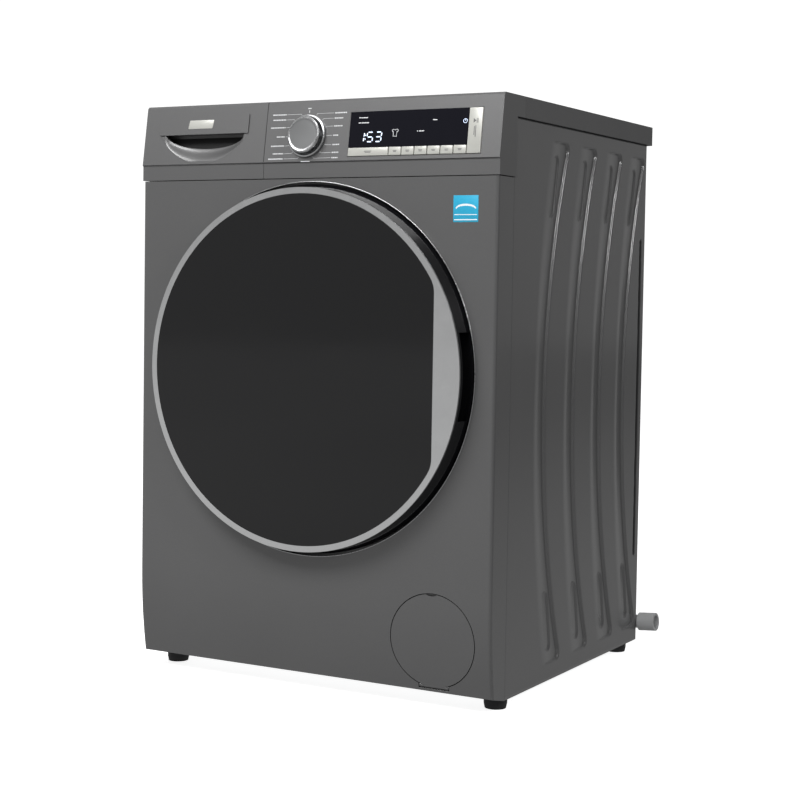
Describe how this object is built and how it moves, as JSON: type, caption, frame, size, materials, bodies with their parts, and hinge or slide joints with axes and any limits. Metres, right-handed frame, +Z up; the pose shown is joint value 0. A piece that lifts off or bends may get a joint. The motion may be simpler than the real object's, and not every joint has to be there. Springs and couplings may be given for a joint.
{
  "type": "washer-dryer",
  "caption": "Free-standing front-loading washer-dryer: steel cabinet, round glazed door, detergent drawer, control fascia with knob and display, drum, tub and drive inside.",
  "frame": {"origin": "on the floor, in the middle of the footprint", "axes": "+X right seen from the front, +Y to the back, +Z up"},
  "size_m": [0.6252, 0.5865, 0.845],
  "materials": {
    "painted_steel": "fine metallic grey satin paint",
    "fascia_plastic": "metallic grey paint on plastic",
    "lid_plastic": "satin dark grey",
    "zinc_steel": "galvanised",
    "black_gloss": "gloss",
    "satin_silver": "satin",
    "smoked_window": "smoked, gloss",
    "clear_glass": "clear",
    "display_glass": "black gloss",
    "key_silver": "pale silver",
    "knob_metal": "brushed face, chrome edge",
    "grey_rubber": "moulded",
    "black_rubber": "moulded",
    "hose_plastic": "corrugated, grey",
    "tub_plastic": "filled polypropylene",
    "white_plastic": "moulded",
    "dark_plastic": "moulded",
    "stainless": "stainless",
    "cast_weight": "cast, grey primer",
    "cast_alloy": "cast",
    "bearing_steel": "ground"
  },
  "bodies": {
    "cabinet": {"side_panel_left": "painted_steel", "side_panel_right": "painted_steel", "front_panel": "painted_steel", "filter_recess": "dark_plastic", "rear_panel": "zinc_steel", "service_cover": "zinc_steel", "base_pan": "zinc_steel", "worktop": "lid_plastic", "control_fascia": "fascia_plastic", "display_window": "display_glass", "dispenser_housing": "white_plastic", "inlet_valves": "white_plastic", "door_lock": "dark_plastic", "hinge_bracket": "cast_alloy", "door_gasket": "grey_rubber", "drain_pump": "dark_plastic", "sump_hose": "black_rubber", "damper_cylinders": "dark_plastic", "rear_snap_fittings": "dark_plastic", "drain_hose": "hose_plastic", "hose_cuff": "hose_plastic"},
    "tub": {"tub_front": "tub_plastic", "tub_rear": "tub_plastic", "counterweights": "cast_weight", "drive_motor": "cast_alloy", "wash_heater": "stainless", "drying_duct": "cast_alloy", "drum_bearings": "bearing_steel", "drive_belt": "black_rubber", "damper_rods": "white_plastic", "suspension_springs": "zinc_steel"},
    "drum": {"drum_shell": "stainless", "drum_paddles": "white_plastic", "drum_spider": "cast_alloy", "drum_pulley": "cast_alloy"},
    "motor_rotor": {"motor_pulley": "bearing_steel"},
    "fan": {"drying_fan": "dark_plastic"},
    "door": {"door_frame": "black_gloss", "door_trim_ring": "satin_silver", "door_window": "smoked_window", "door_inner_ring": "dark_plastic", "door_glass": "clear_glass"},
    "hook": {"door_hook": "white_plastic"},
    "drawer": {"drawer_front": "fascia_plastic", "drawer_tray": "white_plastic"},
    "knob": {"program_knob": "knob_metal"},
    "flap": {"filter_flap": "fascia_plastic"},
    "filter": {"pump_filter": "white_plastic"},
    "button_delay_body": {"button_delay": "key_silver"},
    "button_option_1_body": {"button_option_1": "key_silver"},
    "button_option_2_body": {"button_option_2": "key_silver"},
    "button_option_3_body": {"button_option_3": "key_silver"},
    "button_option_4_body": {"button_option_4": "key_silver"},
    "button_option_5_body": {"button_option_5": "key_silver"},
    "button_option_6_body": {"button_option_6": "key_silver"},
    "button_start_body": {"button_start": "key_silver"},
    "foot_front_left_body": {"foot_front_left": "black_rubber"},
    "foot_front_right_body": {"foot_front_right": "black_rubber"},
    "foot_rear_left_body": {"foot_rear_left": "black_rubber"},
    "foot_rear_right_body": {"foot_rear_right": "black_rubber"}
  },
  "joints": [
    {"name": "tub_float", "type": "slide", "parent": "cabinet", "child": "tub", "axis": [0, 0, 1], "range_m": [-0.008, 0.008], "stiffness_N_per_m": 12000, "springref_m": 0.03359, "deforming": ["suspension_springs", "door_gasket", "sump_hose"]},
    {"name": "drum_spin", "type": "hinge", "parent": "tub", "child": "drum", "pos_m": [0, 0, 0.4625], "axis": [0, 1, 0], "continuous": true},
    {"name": "motor_spin", "type": "hinge", "parent": "tub", "child": "motor_rotor", "pos_m": [0.1725, 0, 0.16372], "axis": [0, 1, 0], "continuous": true},
    {"name": "fan_spin", "type": "hinge", "parent": "tub", "child": "fan", "pos_m": [0.19, 0.06, 0.745], "axis": [0, 0, 1], "continuous": true},
    {"name": "door_hinge", "type": "hinge", "parent": "cabinet", "child": "door", "pos_m": [-0.255, -0.277, 0.4625], "axis": [0, 0, -1], "range_deg": [0, 120]},
    {"name": "hook_pivot", "type": "hinge", "parent": "door", "child": "hook", "pos_m": [0.228, -0.2554, 0.4625], "axis": [0, 0, 1], "range_deg": [0, 12], "stiffness_Nm_per_rad": 0.4, "springref_deg": -5.73},
    {"name": "drawer_slide", "type": "slide", "parent": "cabinet", "child": "drawer", "axis": [0, -1, 0], "range_m": [0, 0.22]},
    {"name": "knob_turn", "type": "hinge", "parent": "cabinet", "child": "knob", "pos_m": [-0.009, -0.26221, 0.7935], "axis": [0, -0.9901, 0.1406], "continuous": true},
    {"name": "flap_hinge", "type": "hinge", "parent": "cabinet", "child": "flap", "pos_m": [0.2065, -0.2533, 0.0315], "axis": [1, 0, 0], "range_deg": [0, 80]},
    {"name": "filter_turn", "type": "hinge", "parent": "cabinet", "child": "filter", "pos_m": [0.2065, -0.24, 0.103], "axis": [0, -1, 0], "range_deg": [0, 120]},
    {"name": "button_delay_press", "type": "slide", "parent": "cabinet", "child": "button_delay_body", "axis": [0, 0.9901, -0.1406], "range_m": [0, 0.001], "stiffness_N_per_m": 900, "springref_m": -0.0006},
    {"name": "button_option_1_press", "type": "slide", "parent": "cabinet", "child": "button_option_1_body", "axis": [0, 0.9901, -0.1406], "range_m": [0, 0.001], "stiffness_N_per_m": 900, "springref_m": -0.0006},
    {"name": "button_option_2_press", "type": "slide", "parent": "cabinet", "child": "button_option_2_body", "axis": [0, 0.9901, -0.1406], "range_m": [0, 0.001], "stiffness_N_per_m": 900, "springref_m": -0.0006},
    {"name": "button_option_3_press", "type": "slide", "parent": "cabinet", "child": "button_option_3_body", "axis": [0, 0.9901, -0.1406], "range_m": [0, 0.001], "stiffness_N_per_m": 900, "springref_m": -0.0006},
    {"name": "button_option_4_press", "type": "slide", "parent": "cabinet", "child": "button_option_4_body", "axis": [0, 0.9901, -0.1406], "range_m": [0, 0.001], "stiffness_N_per_m": 900, "springref_m": -0.0006},
    {"name": "button_option_5_press", "type": "slide", "parent": "cabinet", "child": "button_option_5_body", "axis": [0, 0.9901, -0.1406], "range_m": [0, 0.001], "stiffness_N_per_m": 900, "springref_m": -0.0006},
    {"name": "button_option_6_press", "type": "slide", "parent": "cabinet", "child": "button_option_6_body", "axis": [0, 0.9901, -0.1406], "range_m": [0, 0.001], "stiffness_N_per_m": 900, "springref_m": -0.0006},
    {"name": "button_start_press", "type": "slide", "parent": "cabinet", "child": "button_start_body", "axis": [0, 0.9901, -0.1406], "range_m": [0, 0.001], "stiffness_N_per_m": 900, "springref_m": -0.0006},
    {"name": "foot_front_left_turn", "type": "hinge", "parent": "cabinet", "child": "foot_front_left_body", "pos_m": [-0.274, -0.2, 0.006], "axis": [0, 0, -1], "continuous": true},
    {"name": "foot_front_right_turn", "type": "hinge", "parent": "cabinet", "child": "foot_front_right_body", "pos_m": [0.274, -0.2, 0.006], "axis": [0, 0, -1], "continuous": true},
    {"name": "foot_rear_left_turn", "type": "hinge", "parent": "cabinet", "child": "foot_rear_left_body", "pos_m": [-0.274, 0.235, 0.006], "axis": [0, 0, -1], "continuous": true},
    {"name": "foot_rear_right_turn", "type": "hinge", "parent": "cabinet", "child": "foot_rear_right_body", "pos_m": [0.274, 0.235, 0.006], "axis": [0, 0, -1], "continuous": true}
  ],
  "couplings": [
    {"joint": "motor_spin", "follows": "drum_spin", "ratio": 13.182}
  ]
}
